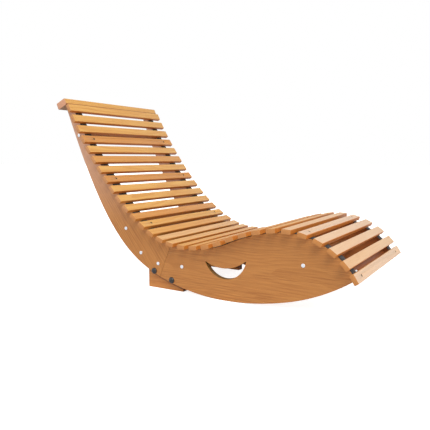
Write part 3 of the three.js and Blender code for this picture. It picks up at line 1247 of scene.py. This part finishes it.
@dataclass
class Bolts:
    """The silver connecting bolts and the black domed bolts with their nuts."""

    silver: Material
    black: Material
    connecting: int = 6
    stops: int = 2
    head_radius: float = 0.00675
    head_height: float = 0.0024
    head_rounding: float = 0.0007
    socket_radius: float = 0.0026
    socket_depth: float = 0.0014
    shank_radius: float = 0.003
    dome_radius: float = 0.0121
    dome_height: float = 0.007
    dome_rim: float = 0.0012
    stop_shank_radius: float = 0.004
    nut_radius: float = 0.007
    nut_height: float = 0.006
    nut_easing: Easing = Easing(width=0.0005, segments=2, limit=math.radians(40))
    thread_end: float = 0.002
    tip_share: float = 0.3
    segments: int = 48

    def build(self) -> None:
        """Builds every bolt where its CAD node lies."""
        for hand in Hand:
            for number in range(1, self.connecting + 1):
                name = f"connecting_bolt_{hand.word}_{number}"
                self.seat(name, hand, self.silver_bolt, self.silver, "zinc_steel")
            for number in range(1, self.stops + 1):
                name = f"stop_bolt_{hand.word}_{number}"
                self.seat(name, hand, self.stop_bolt, self.black, "black_steel")

    def seat(
        self, node: str, hand: Hand, form: Callable[[float], BMesh], finish: Material, slot: str
    ) -> None:
        """Builds one bolt and turns it to its side.

        Args:
            node: The bolt's CAD node.
            hand: Which side it is on.
            form: The method that builds it along +Z, with the head's top at the origin.
            finish: Its material.
            slot: The record's material slot.
        """
        low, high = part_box(node)
        middle = (low + high) / 2
        middle.y = low.y if hand is Hand.RIGHT else high.y
        turn = Matrix.Rotation(math.radians(90 * hand.value), 4, "X")
        bm = form(high.y - low.y)
        bmesh.ops.transform(bm, matrix=Matrix.Translation(middle) @ turn, verts=bm.verts)
        bmesh.ops.recalc_face_normals(bm, faces=bm.faces)
        add_piece(f"{node}_fine", smooth_mesh(bm, SHARP_BOLT), finish, slot, node)

    def silver_bolt(self, length: float) -> BMesh:
        """Builds a flat-headed bolt with a hex socket.

        Args:
            length: Its whole length.

        Returns:
            The bolt, from the origin along +Z.
        """
        bm = bmesh.new()
        bmesh.ops.create_cone(bm, cap_ends=True, segments=self.segments, radius1=self.head_radius,
                              radius2=self.head_radius, depth=self.head_height,
                              matrix=Matrix.Translation((0, 0, self.head_height / 2)))
        rim = [e for e in bm.edges if all(v.co.z < TOUCH for v in e.verts)]
        round_edges(bm, rim, self.head_rounding, segments=4)
        self.sink_hexagon(bm)
        self.draw_shank(bm, self.shank_radius, length - self.head_height)
        return bm

    @staticmethod
    def end_face(bm: BMesh, way: int) -> bmesh.types.BMFace:
        """Finds the largest face that looks along Z.

        Args:
            bm: The bolt so far.
            way: 1 for a face that looks along +Z, or -1 for -Z.

        Returns:
            The face.
        """
        return max((f for f in bm.faces if way * f.normal.z > 0.99), key=lambda f: f.calc_area())

    def sink_hexagon(self, bm: BMesh) -> None:
        """Sinks a hex socket into the face that looks along -Z.

        Args:
            bm: The bolt so far.
        """
        face = self.end_face(bm, -1)
        thickness = self.head_radius - self.head_rounding - self.socket_radius
        bmesh.ops.inset_region(bm, faces=[face], thickness=thickness)
        # The circle is drawn in to a hexagon
        for vertex in face.verts:
            angle = math.atan2(vertex.co.y, vertex.co.x) % (math.pi / 3) - math.pi / 6
            reach = self.socket_radius * math.cos(math.pi / 6) / math.cos(angle)
            vertex.co.xy = vertex.co.xy.normalized() * reach
        floor = bmesh.ops.extrude_discrete_faces(bm, faces=[face])["faces"][0]
        bmesh.ops.translate(bm, verts=floor.verts, vec=Vector((0, 0, self.socket_depth)))

    def draw_shank(self, bm: BMesh, radius: float, length: float) -> None:
        """Draws a shank out of the face that looks along +Z.

        Args:
            bm: The bolt so far.
            radius: The shank's radius.
            length: The shank's length.
        """
        face = self.end_face(bm, 1)
        bmesh.ops.inset_region(bm, faces=[face], thickness=face.verts[0].co.xy.length - radius)
        tip = bmesh.ops.extrude_discrete_faces(bm, faces=[face])["faces"][0]
        bmesh.ops.translate(bm, verts=tip.verts, vec=Vector((0, 0, length)))
        round_edges(bm, list(tip.edges), self.tip_share * radius, segments=2)

    def stop_bolt(self, length: float) -> BMesh:
        """Builds a domed bolt with its nut.

        Args:
            length: Its whole length.

        Returns:
            The bolt, from the origin along +Z.
        """
        bm = bmesh.new()
        bmesh.ops.create_uvsphere(bm, u_segments=self.segments, v_segments=self.segments // 2, radius=1.0)
        bmesh.ops.bisect_plane(bm, geom=[*bm.verts, *bm.edges, *bm.faces], dist=TOUCH, plane_co=(0, 0, 0),
                               plane_no=(0, 0, 1), clear_outer=True)
        crown = self.dome_height - self.dome_rim
        bmesh.ops.scale(bm, verts=bm.verts, vec=Vector((self.dome_radius, self.dome_radius, crown)))
        drawn = bmesh.ops.extrude_edge_only(bm, edges=[e for e in bm.edges if e.is_boundary])["geom"]
        bmesh.ops.translate(bm, verts=[v for v in drawn if isinstance(v, bmesh.types.BMVert)],
                            vec=Vector((0, 0, self.dome_rim)))
        bmesh.ops.holes_fill(bm, edges=[e for e in bm.edges if e.is_boundary], sides=0)
        bmesh.ops.translate(bm, verts=bm.verts, vec=Vector((0, 0, crown)))
        bmesh.ops.recalc_face_normals(bm, faces=bm.faces)
        self.draw_shank(bm, self.stop_shank_radius, length - self.dome_height)
        self.add_nut(bm, length - self.thread_end - self.nut_height / 2)
        return bm

    def add_nut(self, bm: BMesh, height: float) -> None:
        """Adds a hexagon nut to a bolt.

        Args:
            bm: The bolt so far.
            height: The height of the nut's middle.
        """
        nut = bmesh.new()
        bmesh.ops.create_cone(nut, cap_ends=True, segments=6, radius1=self.nut_radius,
                              radius2=self.nut_radius, depth=self.nut_height)
        self.nut_easing.apply(nut)
        mesh = smooth_mesh(nut, SHARP_BOLT, Matrix.Translation((0, 0, height)))
        bm.from_mesh(mesh)
        bpy.data.meshes.remove(mesh)


@dataclass
class Studio:
    """Camera, lamps, pale floor and white background."""

    eye: Triple = (1.06052, -1.8015, 0.516)
    look: Triple = (-0.5206, 0.8464, -0.1127)
    lens: float = 42.36
    sensor: float = 36.0
    nearest: float = 0.05
    farthest: float = 100.0
    key_from: Triple = (0.55, -0.5, 0.8)
    key_power: float = 2.1
    key_softness: float = math.radians(40)
    fill_from: Triple = (-0.5, -0.9, 0.5)
    fill_power: float = 0.5
    fill_softness: float = math.radians(90)
    sky: float = 0.42
    floor_size: float = 30.0

    def build(self) -> None:
        """Builds the camera, lamps, background and floor."""
        bpy.context.scene.view_settings.view_transform = "Standard"
        self.place_camera()
        self.add_sun("key", self.key_from, self.key_power, self.key_softness)
        self.add_sun("fill", self.fill_from, self.fill_power, self.fill_softness)
        self.build_background()
        self.build_floor()

    def place_camera(self) -> None:
        """Places the camera where the photograph was taken."""
        data = bpy.data.cameras.new("camera")
        data.lens, data.sensor_width = self.lens, self.sensor
        data.clip_start, data.clip_end = self.nearest, self.farthest
        camera = bpy.data.objects.new("camera", data)
        camera.location = self.eye
        camera.rotation_mode = "QUATERNION"
        camera.rotation_quaternion = Vector(self.look).to_track_quat("-Z", "Y")
        bpy.context.scene.collection.objects.link(camera)
        bpy.context.scene.camera = camera

    def add_sun(self, name: str, source: Triple, power: float, softness: float) -> None:
        """Adds a soft lamp that lights everything from one direction.

        Args:
            name: The lamp's name.
            source: The direction that the light comes from.
            power: Its strength.
            softness: The angle that the lamp fills in the sky.
        """
        data = bpy.data.lights.new(name, "SUN")
        data.energy, data.angle = power, softness
        lamp = bpy.data.objects.new(name, data)
        lamp.rotation_mode = "QUATERNION"
        lamp.rotation_quaternion = (-Vector(source)).to_track_quat("-Z", "Y")
        bpy.context.scene.collection.objects.link(lamp)

    def build_background(self) -> None:
        """Builds a world that the camera and reflections see as white, and that is a softer light."""
        world = bpy.data.worlds.new("studio")
        world.use_nodes = True
        bpy.context.scene.world = world
        nodes, links = world.node_tree.nodes, world.node_tree.links
        background = nodes["Background"]
        background.inputs["Color"].default_value = (1, 1, 1, 1)
        path = nodes.new("ShaderNodeLightPath")
        seen = nodes.new("ShaderNodeMath")
        seen.operation = "MAXIMUM"
        links.new(path.outputs["Is Camera Ray"], seen.inputs[0])
        links.new(path.outputs["Is Glossy Ray"], seen.inputs[1])
        strength = nodes.new("ShaderNodeMapRange")
        strength.inputs["To Min"].default_value = self.sky
        strength.inputs["To Max"].default_value = 1.0
        links.new(seen.outputs["Value"], strength.inputs["Value"])
        links.new(strength.outputs["Result"], background.inputs["Strength"])

    def build_floor(self) -> None:
        """Builds the pale floor, which keeps the lounger's shadow."""
        bm = bmesh.new()
        bmesh.ops.create_grid(bm, x_segments=1, y_segments=1, size=self.floor_size)
        mesh = smooth_mesh(bm)
        mesh.materials.append(FloorPaper().material())
        floor = bpy.data.objects.new("floor", mesh)
        bpy.context.scene.collection.objects.link(floor)


def slat_stains() -> list[Material]:
    """Makes the stains of the slats and the head rail.

    Returns:
        The golden stain, the seat's, the foot slats' pale one and the rail's.
    """
    # Each painted_shade colour is painted shade, on the slats' lower edges and the rail's underside.
    golden = StainedWood(
        "golden_stain", early=paint(230, 180, 100), late=paint(205, 138, 62), streak=paint(196, 124, 52),
        deep=paint(196, 118, 52), pale=paint(234, 202, 170), end=paint(190, 131, 88),
        painted_shade=paint(188, 110, 36), pore=paint(150, 88, 40),
    )
    seat = replace(golden, name="seat_stain", end=paint(186, 121, 68), painted_shade=paint(194, 116, 42))
    pale = replace(golden, name="foot_slat_stain", end=paint(192, 123, 63), painted_shade=paint(212, 128, 50))
    # A painted shadow line runs along the rail just above the first slat.
    rail = replace(golden, name="rail_stain", end=paint(206, 152, 130), painted_shade=paint(150, 116, 88),
                   painted_shadow_edge=RAIL_SEAT, painted_shadow_low=0.0083, painted_shadow_high=0.0104)
    return [stain.material() for stain in (golden, seat, pale, rail)]


def side_stains() -> list[Material]:
    """Makes the stains of the sides.

    Returns:
        The back board's stain and the rocker board's.
    """
    # Each painted_shade colour is painted shade on the sides' inner faces.
    rocker = StainedWood(
        "side_stain", early=paint(199, 136, 69), late=paint(162, 96, 37), streak=paint(146, 83, 32),
        # The dark end colour is partly end grain and partly painted shade on the wall of the handle hole.
        deep=paint(163, 94, 37), pale=paint(217, 159, 102), end=paint(112, 90, 42),
        painted_shade=paint(192, 116, 58), pore=paint(108, 58, 26), ring_gap=0.005, ring_share=0.3,
        streak_share=0.7, streak_width=0.004, cloud_width=0.05,
    )
    # The back board turns paler and pinker towards the top.
    back = replace(rocker, name="back_stain", painted_shade=paint(176, 120, 92), height_colour=paint(231, 189, 168),
                   height_low=0.2, height_high=0.6)
    return [stain.material() for stain in (back, rocker)]


def inner_stains() -> list[Material]:
    """Makes the stains of the boards between the sides and of the stop blocks.

    Returns:
        The boards' stain and the blocks'.
    """
    # The boards' height colour is painted light: it makes them paler high up, where they lie in shade under
    # the slats.
    boards = StainedWood(
        "inner_stain", early=paint(184, 122, 74), late=paint(146, 88, 48), streak=paint(130, 76, 40),
        deep=paint(170, 98, 46), pale=paint(190, 130, 80), end=paint(150, 92, 50),
        painted_shade=paint(140, 84, 44), pore=paint(96, 52, 26), ring_gap=0.007, height_colour=paint(250, 220, 200),
        height_low=0.16, height_high=0.6,
    )
    # The blocks are lighter than the sides as painted light against the side's shadow, with a painted shadow
    # band under the runner's edge.
    blocks = StainedWood(
        "block_stain", early=paint(214, 146, 76), late=paint(184, 112, 48), streak=paint(170, 100, 42),
        deep=paint(182, 108, 46), pale=paint(230, 170, 110), end=paint(130, 78, 40),
        painted_shade=paint(150, 90, 46), pore=paint(104, 56, 26), ring_gap=0.007, ring_share=0.34,
        painted_shadow_edge=RUNNER_ARC, painted_shadow_low=0.0115, painted_shadow_high=0.019,
    )
    return [stain.material() for stain in (boards, blocks)]


def main() -> None:
    """Builds the lounger's looks, piece by piece, and the studio."""
    logging.basicConfig(level=logging.INFO, format="%(name)s %(message)s")
    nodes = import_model()["nodes"]
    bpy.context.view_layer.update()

    web = Webbing("strap_weave", yarn=paint(12, 14, 17), shine=paint(36, 40, 45)).material()
    silver = Metal("silver_plate", colour=paint(238, 242, 248), worn=paint(212, 218, 226),
                   metallic=0.8, roughness=0.3).material()
    black = Metal("black_paint", colour=paint(30, 30, 32), worn=paint(54, 54, 56),
                  metallic=0.25, roughness=0.3, coat=0.5).material()
    olive = Metal("screw_plate", colour=paint(62, 54, 32), worn=paint(40, 34, 20),
                  metallic=0.1, roughness=0.6).material()

    SlatRow(*slat_stains(), Screws(olive)).build(nodes)
    side_finishes = side_stains()
    for hand in Hand:
        SideBoards(*side_finishes, hand).build(nodes)
    InnerFrame(*inner_stains(), silver).build(nodes)
    Straps(web).build(nodes)
    Bolts(silver, black).build()
    Studio().build()


if __name__ == "__main__":
    main()
